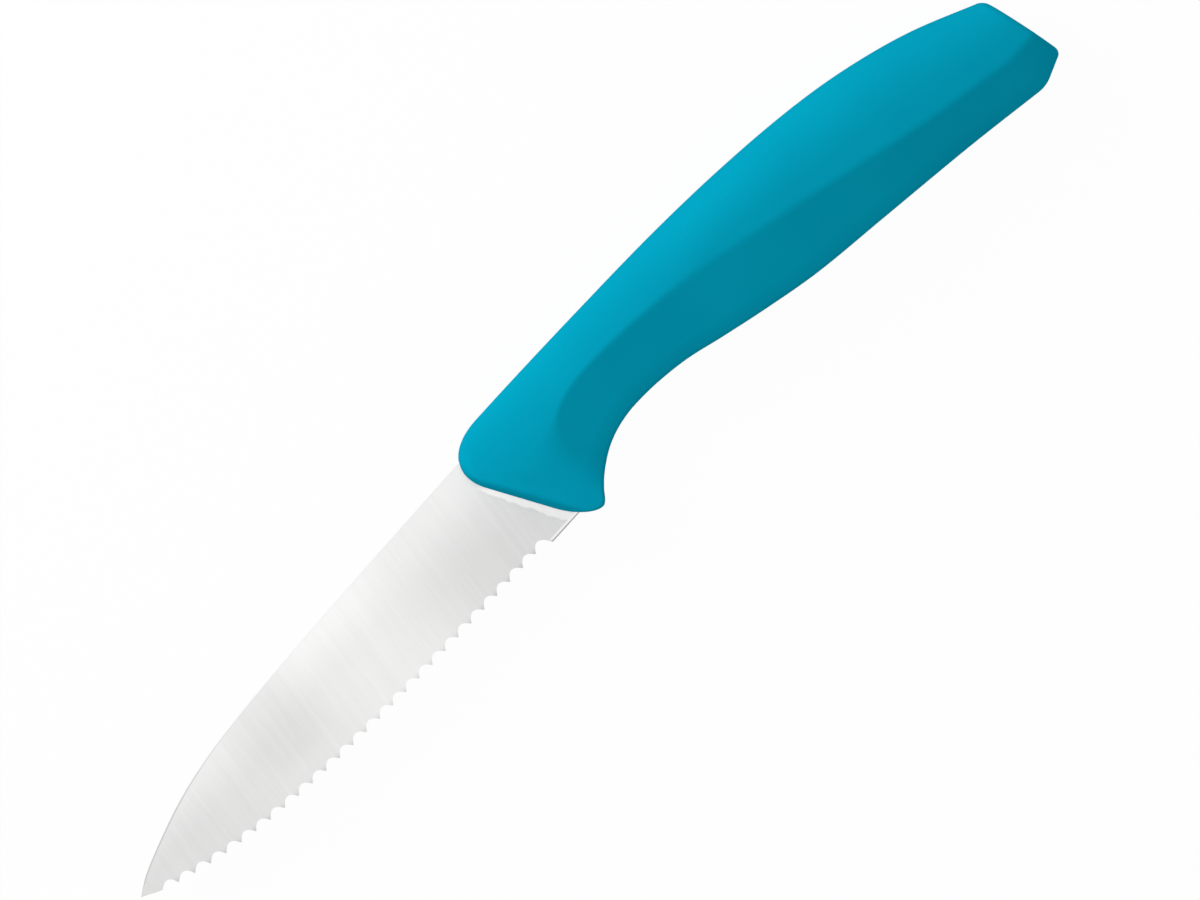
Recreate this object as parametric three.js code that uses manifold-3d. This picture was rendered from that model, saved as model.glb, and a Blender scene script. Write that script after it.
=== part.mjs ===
// Serrated paring knife: a stamped steel blade whose tang is locked into a hard plastic core,
// with a soft-touch grip moulded over the core.
//
// Millimetres. +X runs from the tip to the butt, +Y from the edge to the spine, and +Z out of
// the left side. The knife lies on its right side, with the origin on the surface below the
// middle of its box. The pieces are first drawn about a datum on the tip's level, where the
// handle's front face crosses it.

import * as THREE from 'three';
import { mergeVertices } from 'three/addons/utils/BufferGeometryUtils.js';
import Module from 'manifold-3d';

const wasm = await Module();
wasm.setup();

// Blade
const bladeLength = 87.5; // tip to the handle's front face
const spineRise = 9.1; // spine above the tip, at the handle
const edgeDrop = 9.85; // tooth points below the tip, at the heel
const heelStep = 0.8; // unground heel below the tooth points
const heelLength = 6.4; // unground heel in front of the handle
const plainTip = 3.4; // least straight edge behind the tip
const toothPitch = 3;
const scallopDepth = 1.1;
const grindAngle = 20; // degrees from the blade's flat to the scallops' axes
const spineThickness = 1.3;
const edgeThickness = 0.5;

// Tang, inside the handle
const tangLength = 70; // front face to the tang's end
const tangHeight = 7;
const tangEndHeight = 6;
const shoulderDepth = 2.2; // blade's shoulders behind the front face
const lockHoleDiameter = 3.6;
const lockHoleCount = 2;

// Handle, side view. A station is a distance behind the front face on the tip's level.
const handleLength = 109.6;
const frontLean = 0.48; // run per rise of the slanted front face
const buttLean = 0.16;
const leanBlend = 30; // length in which the front's lean eases into the butt's
const crownCover = 2.6; // back of the handle above the blade's spine
const buttTopDrop = 3.9; // back at the butt, below the tip's level
const noseLength = 10; // rounding between the front face and the back
const noseDrop = 8.5;
const guardCover = 2.15; // point of the finger guard below the blade's heel
const guardRound = 3;
const guardCorner = 5.5; // height of the rounding between the front face and the guard's point
const notchPlace = 23.3; // top of the finger notch
const notchDrop = 5.64;
const heelDrop = 20.55; // lowest corner of the butt
const buttChamfer = 7; // length of the cut under the butt
const buttChamferRise = 2.5;
const chamferRound = 0.2; // height that the corner ahead of the cut loses to its rounding

// Handle, across
const frontWidth = 11;
const notchWidth = 13.2;
const palmWidth = 16;
const buttWidth = 12.6;
const frontFillet = 1.5; // length of the rounding behind the front face
const frontDip = 2.7; // half width lost to it
const buttFillet = 1;
const noseEdge = 2.2; // most rounding over the nose's edge
const edgeRate = 1.5; // growth of that rounding with the nose's drop
const bellyEdge = 0.6; // radius of the corners along the underside
const bellyRoll = 0.4; // half width that the facet loses as it curves in above the belly
const bellyRollHeight = 3;
const guardReach = 4; // how far below the guard, and below the belly, the flank would close
const bellyReach = 1.5;
const facetFadeStart = 2.5; // stations between which the facet comes up behind the guard
const facetFadeEnd = 12;
const powerFadeStart = 35; // stations between which the front's flank eases into the palm's
const powerFadeEnd = 60;
const creaseRound = 0.042; // half width that the crease loses to its rounding, at the notch
const palmCreaseRound = 0.07;
const palmFadeStart = 20;
const palmFadeEnd = 28;
const buttCreaseRound = 0.1;
const buttFade = 10; // length in which the crease takes up its rounding at the butt
const fadedCreaseRound = 0.55; // the same at the guard, where the crease dies out
const creaseFadeStart = 7;
const creaseFadeEnd = 16;

// Skin, core and fits
const gripWall = 2;
const fitGap = 0.3;
const lockRingCount = 3; // ribs inside the grip that hold it on the core
const lockRingWidth = 4;
const lockRingDepth = 1;
const endBlend = 20; // length in which the core takes up the grip's wall at the ends

// Roundness of the mesh
const skinStations = 36;
const coreStations = 18;
const skinSteps = 9;
const coreSteps = 5;
const grindSides = 32;
const arcSteps = 8;
const outlineSteps = 40;
const outlineCrowding = 1.6; // draws the outline's points towards the tip
const tracingStep = 0.05;

const quarterTurn = Math.PI / 2;
const mix = THREE.MathUtils.lerp;
const fade = THREE.MathUtils.smoothstep;
const clamp = THREE.MathUtils.clamp;

// A smooth line through [x, y] points: cubic pieces that share their slope at each point.
function smoothLine(points) {
  const last = points.length - 1;
  const slopes = points.map((point, i) => {
    const before = points[Math.max(i - 1, 0)];
    const after = points[Math.min(i + 1, last)];
    return (after[1] - before[1]) / (after[0] - before[0]);
  });
  return (x) => {
    let i = 0;
    while (i < last - 1 && x > points[i + 1][0]) i++;
    const [x0, y0] = points[i];
    const [x1, y1] = points[i + 1];
    const run = x1 - x0;
    const t = clamp((x - x0) / run, 0, 1);
    const s = 1 - t;
    const bend0 = slopes[i] * run;
    const bend1 = slopes[i + 1] * run;
    return s * s * (y0 * (1 + 2 * t) + bend0 * t) + t * t * (y1 * (1 + 2 * s) - bend1 * s);
  };
}

// Drop of a quarter-ellipse corner, length long and height high, at a distance from its end.
function cornerDrop(distance, length, height) {
  const t = clamp(1 - distance / length, 0, 1);
  return height * (1 - Math.sqrt(1 - t * t));
}

// The lesser of two values, with the corner between them rounded.
function softMin(a, b, round) {
  const h = Math.max(4 * round - Math.abs(a - b), 0);
  return Math.min(a, b) - (h * h) / (16 * round);
}

// Boolean solids
function toSolid(geometry) {
  const bare = geometry.clone();
  bare.deleteAttribute('normal');
  bare.deleteAttribute('uv');
  const merged = mergeVertices(bare);
  const index = merged.index.array;
  const kept = [];
  for (let i = 0; i < index.length; i += 3) {
    const [a, b, c] = index.slice(i, i + 3);
    if (a !== b && b !== c && c !== a) kept.push(a, b, c);
  }
  const vertProperties = new Float32Array(merged.attributes.position.array);
  const triVerts = new Uint32Array(kept);
  return new wasm.Manifold(new wasm.Mesh({ numProp: 3, vertProperties, triVerts }));
}

function toGeometry(solid) {
  const mesh = solid.getMesh();
  const geometry = new THREE.BufferGeometry();
  geometry.setAttribute('position', new THREE.BufferAttribute(mesh.vertProperties, 3));
  geometry.setIndex(new THREE.BufferAttribute(mesh.triVerts, 1));
  geometry.computeVertexNormals();
  return geometry;
}

// Blade outline: shares of the spine's rise and the edge's drop, at shares of the blade's
// length from the tip.
const spineShape = smoothLine([
  [0, 0], [0.03, 0.17], [0.06, 0.287], [0.115, 0.464], [0.17, 0.615], [0.23, 0.735],
  [0.315, 0.838], [0.46, 0.915], [0.69, 0.965], [1, 1],
]);
const edgeShape = smoothLine([
  [0, 0], [0.036, 0.168], [0.07, 0.286], [0.135, 0.467], [0.2, 0.602], [0.3, 0.748],
  [0.435, 0.867], [0.605, 0.944], [0.815, 0.984], [1, 1],
]);
const blankFadeEnd = 0.3; // share of the length in which the unground edge leaves the tooth line

function spineHeight(x) {
  return spineRise * spineShape(1 + x / bladeLength);
}

function toothHeight(x) {
  return -edgeDrop * edgeShape(1 + x / bladeLength);
}

function blankHeight(x) {
  return toothHeight(x) - heelStep * fade(1 + x / bladeLength, 0, blankFadeEnd);
}

// Where a level meets the slanted front face, moved back by depth.
function frontFaceAt(y, depth) {
  return depth - frontLean * y;
}

// Handle lines along the stations. The back is given by shares of its fall, and the belly by
// shares of its rise from the guard to the notch and of its fall from there to the butt.
const crownHeight = spineRise + crownCover;
const guardDrop = edgeDrop + heelStep + guardCover;
const notchRun = notchPlace - guardRound;
const palmRun = handleLength - notchPlace;

const backLine = smoothLine([
  [0, 0.004], [0.13, 0], [0.3, 0.022], [0.44, 0.054], [0.57, 0.12], [0.7, 0.236],
  [0.8, 0.386], [0.9, 0.623], [1, 0.975],
].map(([share, fall]) => [share * handleLength, mix(crownHeight, -buttTopDrop, fall)]));

const bellyLine = smoothLine([
  ...[[0, 0], [0.015, 0.004], [0.04, 0.034], [0.08, 0.096], [0.15, 0.23], [0.27, 0.423],
    [0.41, 0.612], [0.55, 0.772], [0.7, 0.897], [0.85, 0.972]]
    .map(([share, rise]) => [guardRound + share * notchRun, mix(-guardDrop, -notchDrop, rise)]),
  ...[[0, 0], [0.06, 0.018], [0.13, 0.085], [0.2, 0.205], [0.29, 0.35], [0.4, 0.5],
    [0.56, 0.637], [0.76, 0.807], [0.92, 0.968], [1, 1.05]]
    .map(([share, fall]) => [notchPlace + share * palmRun, mix(-notchDrop, -heelDrop, fall)]),
]);

// The crease parts the flank from the slanted lower facet. It runs back from the finger guard,
// climbs round the notch and falls to the butt. The widest line crosses it behind the notch.
// Both are shares of the height from the belly to the back.
const creaseShare = smoothLine([
  ...[[0, 0.08], [0.11, 0.1], [0.3, 0.25], [0.45, 0.385], [0.6, 0.477], [0.8, 0.55], [1, 0.573]]
    .map(([share, height]) => [share * notchPlace, height]),
  ...[[0.14, 0.574], [0.22, 0.573], [0.32, 0.545], [0.44, 0.484], [0.6, 0.398], [0.76, 0.333],
    [0.9, 0.347], [0.95, 0.356], [1, 0.338]]
    .map(([share, height]) => [notchPlace + share * palmRun, height]),
]);
const widestShare = smoothLine([
  ...[[0, 0.38], [1, 0.38]].map(([share, height]) => [share * notchPlace, height]),
  ...[[0.07, 0.4], [0.17, 0.47], [0.31, 0.6], [0.5, 0.56], [0.75, 0.48], [1, 0.46]]
    .map(([share, height]) => [notchPlace + share * palmRun, height]),
]);
const palmStart = notchPlace + 0.36 * palmRun;
const palmEnd = notchPlace + 0.6 * palmRun;
const halfWidthLine = smoothLine([
  [0, frontWidth / 2], [notchPlace / 2, (frontWidth + notchWidth) / 4], [notchPlace, notchWidth / 2],
  [palmStart, palmWidth / 2], [palmEnd, palmWidth / 2], [handleLength, buttWidth / 2],
]);
const upperFlankPower = 2.4; // fullness of the flank above and below its widest line
const lowerFlankPower = 3;
const frontFlankPower = 1.55; // the same above, ahead of the palm, and below, at the guard
const guardFlankPower = 8;
const facetShare = 0.44; // half width left at the belly, of that at the crease
const guardFacetShare = 0.97;

function lean(station) {
  return mix(frontLean, buttLean, fade(station, 0, leanBlend));
}

// Heights and half width of the handle's section at a station, drawn in by inset.
function section(station, inset) {
  const toButt = handleLength - station;
  const chamferSlope = buttChamferRise / buttChamfer;
  const chamferDrop = heelDrop - chamferSlope * (buttChamfer - toButt);
  const bellyDrop = softMin(-bellyLine(station), chamferDrop, chamferRound);
  const nose = cornerDrop(station, noseLength, noseDrop);
  const guard = cornerDrop(station, guardRound, guardCorner);
  const front = cornerDrop(station, frontFillet, frontDip);
  const butt = cornerDrop(toButt, buttFillet, buttFillet);
  const back = backLine(station) - butt - inset;
  const keel = butt + inset - bellyDrop;
  const top = back - nose;
  const belly = keel + guard;
  const offGuard = fade(station, facetFadeStart, facetFadeEnd);
  const palmRound = mix(creaseRound, palmCreaseRound, fade(station, palmFadeStart, palmFadeEnd));
  const sharpness = mix(buttCreaseRound, palmRound, fade(toButt, 0, buttFade));
  return {
    back,
    flankEnd: keel - mix(guardReach, bellyReach, offGuard),
    top,
    belly,
    noseRounding: Math.min(noseEdge, edgeRate * nose),
    crease: mix(belly, top, creaseShare(station)),
    widest: mix(keel, back, widestShare(station)),
    facetLeft: mix(guardFacetShare, facetShare, offGuard),
    roll: bellyRoll * offGuard,
    lowerPower: mix(guardFlankPower, lowerFlankPower, offGuard),
    upperPower: mix(frontFlankPower, upperFlankPower, fade(station, powerFadeStart, powerFadeEnd)),
    halfWidth: halfWidthLine(station) - front - butt - inset,
    round: mix(fadedCreaseRound, sharpness, fade(station, creaseFadeStart, creaseFadeEnd)),
  };
}

// Rise from 0 at an edge to 1 at a height from it, as a quarter ellipse.
function rounding(distance, height) {
  return height > 0 ? Math.sqrt(1 - clamp(1 - distance / height, 0, 1) ** 2) : 1;
}

// Half width at height y: a flank that curves from the widest line up to the back and down past
// the keel, cut below the crease by a facet that is flat and then rolls in above the belly. The
// corners along the belly are round, and so is the nose.
function halfWidthAt(y, outline) {
  const { back, flankEnd, top, belly, crease, widest, halfWidth } = outline;
  const flank = (height) => {
    const end = height > widest ? back : flankEnd;
    const power = height > widest ? outline.upperPower : outline.lowerPower;
    return halfWidth * Math.sqrt(1 - clamp((height - widest) / (end - widest), 0, 1) ** power);
  };
  const atCrease = flank(crease);
  const slope = (atCrease * (1 - outline.facetLeft)) / (crease - belly);
  const rolledIn = outline.roll * clamp(1 - (y - belly) / bellyRollHeight, 0, 1) ** 2;
  const facet = atCrease + slope * (y - crease) - rolledIn;
  const width = Math.max(softMin(flank(y), facet, outline.round), 0);
  const corner = cornerDrop(y - belly, bellyEdge, Math.min(bellyEdge, width / 2));
  return (width - corner) * rounding(top - y, outline.noseRounding);
}

// Closed ring of points round the handle at a station: down the left side from the back to the
// belly, and up the right side. The ends of an inset ring's handle lie endInset further in.
function handleRing(station, inset, endInset, steps) {
  const fromFront = endInset * (1 - fade(station, 0, endBlend));
  const fromButt = endInset * (1 - fade(handleLength - station, 0, endBlend));
  const outline = section(station - fromFront + fromButt, inset);
  const left = [];
  for (let j = 0; j <= 2 * steps; j++) {
    const angle = quarterTurn * (j / steps);
    const onFlank = mix(outline.top, outline.crease, 1 - Math.cos(angle));
    const onFacet = mix(outline.crease, outline.belly, -Math.cos(angle));
    const y = j <= steps ? onFlank : onFacet;
    const z = j % (2 * steps) === 0 ? 0 : halfWidthAt(y, outline);
    left.push(new THREE.Vector3(station - lean(station) * y, y, z));
  }
  const right = left.slice(1, -1).reverse().map((p) => new THREE.Vector3(p.x, p.y, -p.z));
  return [...left, ...right];
}

// A closed skin over a row of rings, with a flat cap at each end.
function skinOver(rings) {
  const count = rings[0].length;
  const index = [];
  for (let i = 0; i < rings.length - 1; i++) {
    for (let j = 0; j < count; j++) {
      const a = i * count + j;
      const b = i * count + ((j + 1) % count);
      index.push(a, b, b + count, a, b + count, a + count);
    }
  }
  const lastRing = (rings.length - 1) * count;
  for (let k = 0; k < count / 2; k++) {
    const right = (count - k) % count;
    const lowerRight = count - k - 1;
    const cap = [k, lowerRight, k + 1, k, right, lowerRight];
    index.push(...cap);
    index.push(...cap.map((corner) => lastRing + corner).reverse());
  }
  const geometry = new THREE.BufferGeometry().setFromPoints(rings.flat());
  geometry.setIndex(index);
  return toSolid(geometry);
}

// Stations from one end to the other, closer together where the ends round off.
function stationRow(endInset, count) {
  const row = [];
  for (let i = 0; i <= count; i++) {
    const share = (1 - Math.cos((Math.PI * i) / count)) / 2;
    row.push(mix(endInset, handleLength - endInset, share));
  }
  return row;
}

function outerSkin() {
  return skinOver(stationRow(0, skinStations).map((station) => handleRing(station, 0, 0, skinSteps)));
}

// The surface where the grip meets the core, drawn in by gap. Grooves for the lock rings are
// spread evenly from the notch to the butt.
function innerSkin(gap) {
  const wall = gripWall + gap;
  const floorHalf = lockRingWidth / 2 + gap;
  const mouthHalf = floorHalf + lockRingDepth;
  const places = [];
  for (let i = 1; i <= lockRingCount; i++) {
    places.push(mix(notchPlace, handleLength, i / (lockRingCount + 1)));
  }
  const grooves = places.flatMap((place) => [
    [place - mouthHalf, wall],
    [place - floorHalf, wall + lockRingDepth],
    [place + floorHalf, wall + lockRingDepth],
    [place + mouthHalf, wall],
  ]);
  const plain = stationRow(wall, coreStations)
    .filter((station) => places.every((place) => Math.abs(station - place) > mouthHalf + lockRingDepth))
    .map((station) => [station, wall]);
  const row = [...plain, ...grooves].sort((a, b) => a[0] - b[0]);
  return skinOver(row.map(([station, inset]) => handleRing(station, inset, wall, coreSteps)));
}

// The tang runs straight from the core's middle above the notch to its middle at the tang's end.
const tangNotchShare = 0.42; // of the height from the belly to the back
const tangEndShare = 0.62;

function tangMiddle(x) {
  const notch = section(notchPlace, 0);
  const end = section(tangLength, 0);
  const notchMiddle = mix(notch.belly, notch.top, tangNotchShare);
  const endMiddle = mix(end.belly, end.top, tangEndShare);
  return mix(notchMiddle, endMiddle, (x - notchPlace) / (tangLength - notchPlace));
}

// Shoulders and tang, counter-clockwise from the heel to the spine, grown all round by grow.
function addRoot(shape, grow) {
  const heelY = blankHeight(0) - grow;
  const spineY = spineHeight(0) + grow;
  const depth = shoulderDepth + grow;
  const tangBottom = tangMiddle(0) - tangHeight / 2 - grow;
  const tangTop = tangMiddle(0) + tangHeight / 2 + grow;
  const endX = tangLength - tangEndHeight / 2;
  shape.lineTo(frontFaceAt(heelY, depth), heelY);
  shape.lineTo(frontFaceAt(tangBottom, depth), tangBottom);
  shape.absarc(endX, tangMiddle(endX), tangEndHeight / 2 + grow, -quarterTurn, quarterTurn, false);
  shape.lineTo(depth, tangTop);
  shape.lineTo(depth, spineY);
  for (let i = 1; i <= lockHoleCount; i++) {
    const x = (tangLength * i) / (lockHoleCount + 1);
    const hole = new THREE.Path();
    hole.absarc(x, tangMiddle(x), lockHoleDiameter / 2 - grow, 0, 4 * quarterTurn, true);
    shape.holes.push(hole);
  }
}

// The sheet tapers evenly from the spine to the edge, so both flats are planes.
function bladeHalfThickness(y) {
  const share = (y + edgeDrop) / (spineRise + edgeDrop);
  return mix(edgeThickness, spineThickness, share) / 2;
}

// A flat shape given the sheet's tapered thickness, grown by grow on both flats.
function taperedSheet(shape, grow) {
  const flat = { depth: 1, bevelEnabled: false, curveSegments: arcSteps };
  const geometry = new THREE.ExtrudeGeometry(shape, flat);
  const position = geometry.attributes.position;
  for (let i = 0; i < position.count; i++) {
    const side = position.getZ(i) > 0 ? 1 : -1;
    position.setZ(i, side * (bladeHalfThickness(position.getY(i)) + grow));
  }
  return toSolid(geometry);
}

function bladeBlank() {
  const places = [];
  for (let i = 1; i <= outlineSteps; i++) {
    places.push(bladeLength * ((i / outlineSteps) ** outlineCrowding - 1));
  }
  const shape = new THREE.Shape();
  shape.moveTo(-bladeLength, 0);
  for (const x of places) shape.lineTo(x, blankHeight(x));
  addRoot(shape, 0);
  for (const x of places.reverse()) shape.lineTo(x, spineHeight(x));
  return taperedSheet(shape, 0);
}

// Places on the tooth line a pitch apart, from the heel until the plain tip begins.
function scallopPlaces() {
  const heelStart = frontFaceAt(blankHeight(0), 0) - heelLength;
  const places = [];
  const pointAt = (x) => new THREE.Vector3(x, toothHeight(x), 0);
  const tip = pointAt(-bladeLength);
  let travelled = 0;
  for (let x = heelStart; x > -bladeLength; x -= tracingStep) {
    const point = pointAt(x);
    const ahead = pointAt(x - tracingStep);
    const roomLeft = point.distanceTo(tip) - toothPitch / 2;
    travelled += point.distanceTo(ahead);
    if (travelled >= (places.length + 0.5) * toothPitch && roomLeft >= plainTip) {
      places.push({ point, along: point.clone().sub(ahead).normalize() });
    }
  }
  return places;
}

// Directions of a face ground from the right at the grind angle, which meets the left flat in an
// edge along the tooth line.
function grindFace(along) {
  const angle = THREE.MathUtils.degToRad(grindAngle);
  const rise = Math.sin(angle);
  const run = Math.cos(angle);
  const inward = new THREE.Vector3(-along.y, along.x, 0).normalize();
  const left = new THREE.Vector3(0, 0, 1);
  const axis = inward.clone().multiplyScalar(run).addScaledVector(left, -rise);
  const towardsBlade = inward.clone().multiplyScalar(rise).addScaledVector(left, run);
  const across = axis.clone().cross(towardsBlade);
  const reach = 2 * (scallopDepth + heelStep + spineThickness / Math.tan(angle));
  return { inward, towardsBlade, reach, turn: new THREE.Matrix4().makeBasis(across, axis, towardsBlade) };
}

// A point of the left flat above a point of the mid-plane.
function onLeftFlat(point) {
  return new THREE.Vector3(point.x, point.y, bladeHalfThickness(point.y));
}

// A grinding wheel for one scallop. Its deepest line breaks through the left flat at the
// scallop's depth.
function scallopCut({ point, along }) {
  const { inward, towardsBlade, reach, turn } = grindFace(along);
  const sagitta = scallopDepth * Math.sin(THREE.MathUtils.degToRad(grindAngle)); // of the rim in a pitch
  const radius = ((toothPitch / 2) ** 2 + sagitta ** 2) / (2 * sagitta);
  const centre = onLeftFlat(point)
    .addScaledVector(inward, scallopDepth)
    .addScaledVector(towardsBlade, -radius);
  const wheel = new THREE.CylinderGeometry(radius, radius, reach, grindSides);
  return toSolid(wheel.applyMatrix4(turn.setPosition(centre)));
}

// The plain tip is ground straight, from the last scallop to the point.
function tipCut({ point, along }) {
  const start = onLeftFlat(point.clone().addScaledVector(along, -toothPitch / 2));
  const end = onLeftFlat(new THREE.Vector3(-bladeLength, 0, 0));
  const edge = start.clone().sub(end);
  const { towardsBlade, reach, turn } = grindFace(edge.clone().normalize());
  const middle = start.add(end).multiplyScalar(0.5).addScaledVector(towardsBlade, -reach / 2);
  const block = new THREE.BoxGeometry(edge.length() + spineThickness, reach, reach);
  return toSolid(block.applyMatrix4(turn.setPosition(middle)));
}

function bladeSolid() {
  const places = scallopPlaces();
  const cuts = [...places.map(scallopCut), tipCut(places[places.length - 1])];
  return cuts.reduce((blade, cut) => blade.subtract(cut), bladeBlank());
}

// Room for the blade's root in the handle, with clearance all round. The lock holes stay filled,
// so the core keeps a plug through each of them.
function bladeRoom() {
  const inFront = frontFaceAt(crownHeight, -noseLength);
  const shape = new THREE.Shape();
  shape.moveTo(inFront, spineHeight(0) + fitGap);
  shape.lineTo(inFront, blankHeight(0) - fitGap);
  addRoot(shape, fitGap);
  return taperedSheet(shape, fitGap);
}

// Pieces
const steel = new THREE.MeshStandardMaterial({ color: 0xd6d6d4, roughness: 0.35, metalness: 1 });
const corePlastic = new THREE.MeshStandardMaterial({ color: 0x2b8ea3, roughness: 0.55, metalness: 0 });
const softGrip = new THREE.MeshStandardMaterial({ color: 0x0098b8, roughness: 0.6, metalness: 0 });

function piece(name, solid, material) {
  const mesh = new THREE.Mesh(toGeometry(solid), material);
  mesh.name = name;
  return mesh;
}

const room = bladeRoom();
const pieces = new THREE.Group();
pieces.add(piece('blade', bladeSolid(), steel));
pieces.add(piece('handle_core', innerSkin(fitGap).subtract(room), corePlastic));
pieces.add(piece('handle_grip', outerSkin().subtract(innerSkin(0)).subtract(room), softGrip));

const box = new THREE.Box3().setFromObject(pieces);
const middle = box.getCenter(new THREE.Vector3());
pieces.position.set(-middle.x, -middle.y, -box.min.z);

const paringKnife = new THREE.Group();
paringKnife.add(pieces);

export default paringKnife;
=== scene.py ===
import math
import bmesh
import bpy
import numpy as np
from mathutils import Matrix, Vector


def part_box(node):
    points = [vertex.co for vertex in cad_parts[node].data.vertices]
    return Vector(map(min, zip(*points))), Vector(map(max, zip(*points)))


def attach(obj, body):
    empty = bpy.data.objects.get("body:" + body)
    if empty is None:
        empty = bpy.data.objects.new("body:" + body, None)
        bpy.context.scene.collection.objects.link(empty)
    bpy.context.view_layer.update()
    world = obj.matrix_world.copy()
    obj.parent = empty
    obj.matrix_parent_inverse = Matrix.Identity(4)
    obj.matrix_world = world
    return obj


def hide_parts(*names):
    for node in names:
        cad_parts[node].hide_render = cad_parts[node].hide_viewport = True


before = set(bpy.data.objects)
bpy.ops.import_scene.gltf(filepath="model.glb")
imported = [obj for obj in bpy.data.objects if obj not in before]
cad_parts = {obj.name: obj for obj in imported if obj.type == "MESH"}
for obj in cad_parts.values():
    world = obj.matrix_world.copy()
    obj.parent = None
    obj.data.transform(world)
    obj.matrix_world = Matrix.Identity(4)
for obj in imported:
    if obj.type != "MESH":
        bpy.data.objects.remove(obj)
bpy.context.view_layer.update()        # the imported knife: blade, handle_core and handle_grip, all on body "root"
mm = 0.001               # every size below is in millimetres, meshes are in metres
weldDistance = 0.0004    # points of a mesh that are nearer than this become one


# small maths, on whole arrays

def mix(a, b, share):  # a where the share is 0, b where it is 1, straight in between
    return a + (b - a) * share


def fade(value, start, end):  # 0 before start, 1 after end, eased in between
    t = np.clip((value - start) / (end - start), 0, 1)
    return t * t * (3 - 2 * t)


def smoothLine(points):  # cubic pieces through the points, sharing their slope at each point
    xs, ys = np.array(points, float).T
    slopes = np.gradient(ys, xs)
    slopes[1:-1] = (ys[2:] - ys[:-2]) / (xs[2:] - xs[:-2])

    def line(x):
        i = np.clip(np.searchsorted(xs, x) - 1, 0, len(xs) - 2)
        run = xs[i + 1] - xs[i]
        t = np.clip((x - xs[i]) / run, 0, 1)
        s = 1 - t
        start = s * s * (ys[i] * (1 + 2 * t) + slopes[i] * run * t)
        return start + t * t * (ys[i + 1] * (1 + 2 * s) - slopes[i + 1] * run * s)

    return line


def cornerDrop(distance, length, height):  # drop of a quarter-ellipse corner, at a distance from its end
    t = np.clip(1 - distance / length, 0, 1)
    return height * (1 - np.sqrt(1 - t * t))


def softMin(a, b, lost):  # the lesser of two, with the corner rounded so that it loses that much
    h = np.maximum(4 * lost - np.abs(a - b), 0)
    return np.minimum(a, b) - h * h / (16 * lost)


# meshes and objects

def quads(index):  # faces of a grid of vertex numbers
    corners = (index[:-1, :-1], index[1:, :-1], index[1:, 1:], index[:-1, 1:])
    return np.stack(corners, -1).reshape(-1, 4).tolist()


def closedRow(index):  # the grid with its first column repeated at the end
    return np.concatenate([index, index[:, :1]], 1)


class Patchwork:  # grids of points that become one mesh, each point with a value for its finish
    def __init__(self):
        self.points = []
        self.values = []
        self.faces = []
        self.count = 0

    def add(self, grid, values=0.0):
        rows = grid.reshape(-1, 3)
        index = self.count + np.arange(len(rows)).reshape(grid.shape[:-1])
        self.points.append(rows)
        self.values.append(np.broadcast_to(values, grid.shape[:-1]).ravel())
        self.count += len(rows)
        return index

    def mesh(self, name, sharpAngle):  # the grids' points are measured from the datum
        made = bpy.data.meshes.new(name)
        points = (np.concatenate(self.points) + datum) * mm
        made.from_pydata(points.tolist(), [], self.faces)
        marks = made.attributes.new("mark", "FLOAT", "POINT")
        marks.data.foreach_set("value", np.concatenate(self.values).astype(np.float32))
        shell = bmesh.new()
        shell.from_mesh(made)
        bmesh.ops.remove_doubles(shell, verts=shell.verts, dist=weldDistance * mm)
        bmesh.ops.recalc_face_normals(shell, faces=shell.faces)
        shell.to_mesh(made)
        shell.free()
        finishShading(made, sharpAngle)
        return made


def finishShading(mesh, sharpAngle):  # smooth, but for edges that turn by more than the angle
    mesh.shade_smooth()
    mesh.set_sharp_from_angle(angle=math.radians(sharpAngle))


def addObject(name, data):  # a new object in the scene
    made = bpy.data.objects.new(name, data)
    bpy.context.scene.collection.objects.link(made)
    return made


def putPiece(name, mesh, node, material):  # a new piece in place of a CAD node
    piece = addObject(name, mesh)
    piece.data.materials.clear()
    piece.data.materials.append(material)
    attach(piece, "root")
    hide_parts(node)
    print(name, len(mesh.polygons), "faces")


# shader wires

class Wire:  # a socket that Python's operators work on
    def __init__(self, tree, socket=None):
        self.tree = tree
        self.socket = socket

    def node(self, kind, settings, inputs, output=0):
        made = self.tree.nodes.new(kind)
        for name, value in settings.items():
            setattr(made, name, value)
        for name, value in inputs.items():
            if isinstance(value, Wire):
                self.tree.links.new(value.socket, made.inputs[name])
            else:
                made.inputs[name].default_value = value
        return Wire(self.tree, made.outputs[output])

    def outputs(self, names):  # other sockets of the same node
        return [Wire(self.tree, self.socket.node.outputs[name]) for name in names]

    def maths(self, operation, a, b=0.0):
        return self.node("ShaderNodeMath", {"operation": operation}, {0: a, 1: b})

    def __add__(self, other):
        return self.maths("ADD", self, other)

    def __radd__(self, other):
        return self.maths("ADD", other, self)

    def __sub__(self, other):
        return self.maths("SUBTRACT", self, other)

    def __rsub__(self, other):
        return self.maths("SUBTRACT", other, self)

    def __mul__(self, other):
        return self.maths("MULTIPLY", self, other)

    def __rmul__(self, other):
        return self.maths("MULTIPLY", other, self)

    def __neg__(self):
        return self.maths("SUBTRACT", 0.0, self)

    def __abs__(self):
        return self.maths("ABSOLUTE", self)

    def most(self, other):
        return self.maths("MAXIMUM", self, other)

    def step(self, start, end):  # 0 before start, 1 after end, eased in between
        ends = {"Value": self, "From Min": start, "From Max": end}
        return self.node("ShaderNodeMapRange", {"interpolation_type": "SMOOTHSTEP"}, ends)

    def band(self, start, full, fading, end):  # up from start to full, and down again from fading to end
        return self.step(start, full) * (1 - self.step(fading, end))

    def blend(self, a, b):  # colour a where the wire is 0, colour b where it is 1
        return self.node("ShaderNodeMix", {"data_type": "RGBA"}, {0: self, 6: a, 7: b}, 2)


def newFinish(name):  # a bare material, its first wire and its shader
    material = bpy.data.materials.new(name)
    material.use_nodes = True
    tree = material.node_tree
    return material, Wire(tree), tree.nodes["Principled BSDF"]


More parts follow.
